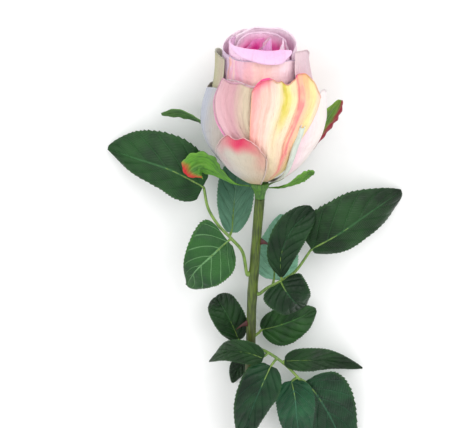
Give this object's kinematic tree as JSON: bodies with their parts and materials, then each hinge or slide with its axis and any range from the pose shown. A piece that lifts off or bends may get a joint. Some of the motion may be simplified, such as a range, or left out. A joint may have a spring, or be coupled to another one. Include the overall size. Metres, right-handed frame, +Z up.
{
  "type": "cut rose",
  "caption": "Cut rose lying on its side: a half-open pink and cream bud with green sepals, on a thorny green stem with dark serrated leaves",
  "frame": {"origin": "centre of the bounding box in plan, on the surface the rose lies on (the bottom of the box)", "axes": "+Y along the stem from its cut end to the bud, +Z up from the surface it lies on, +X to the right"},
  "size_m": [0.1532, 0.2984, 0.0615],
  "materials": {
    "stem": "olive green bark, browner towards the cut end, with red-brown thorns",
    "receptacle": "smooth bright green",
    "stalk": "smooth yellow-green",
    "leaf": "dark green with paler veins, satin",
    "sepal": "bright green with red tips",
    "outer_petal": "cream, blushed pink and yellow, matte",
    "heart_petal": "pale pink, deep pink inside, matte"
  },
  "bodies": {
    "root": {"heart_fold_left": "heart_petal", "heart_fold_right": "heart_petal", "heart_lip_front": "heart_petal", "heart_roll": "heart_petal", "heart_tip_right": "heart_petal", "heart_wrap_back": "heart_petal", "heart_wrap_left": "heart_petal", "heart_wrap_right": "heart_petal", "leaf_a_end": "leaf", "leaf_a_low": "leaf", "leaf_a_up": "leaf", "leaf_b_back": "leaf", "leaf_b_end": "leaf", "leaf_b_mid": "leaf", "leaf_b_round": "leaf", "leaf_c": "leaf", "leaf_d": "leaf", "leaf_e_left": "leaf", "leaf_e_low_left": "leaf", "leaf_e_low_mid": "leaf", "leaf_e_low_right": "leaf", "leaf_e_right": "leaf", "leaf_f": "leaf", "petal_back_left": "outer_petal", "petal_back_right": "outer_petal", "petal_front": "outer_petal", "petal_front_left": "outer_petal", "petal_front_low": "outer_petal", "petal_inner_back": "outer_petal", "petal_inner_front": "outer_petal", "petal_left": "outer_petal", "petal_right": "outer_petal", "petal_under": "outer_petal", "petal_under_left": "outer_petal", "petal_under_right": "outer_petal", "receptacle": "receptacle", "sepal_left": "sepal", "sepal_low_right": "sepal", "sepal_right": "sepal", "sepal_under": "sepal", "sepal_under_left": "sepal", "stalk_a": "stalk", "stalk_b": "stalk", "stalk_c": "stalk", "stalk_d": "stalk", "stalk_e": "stalk", "stalk_f": "stalk", "stem": "stem"}
  },
  "joints": []
}
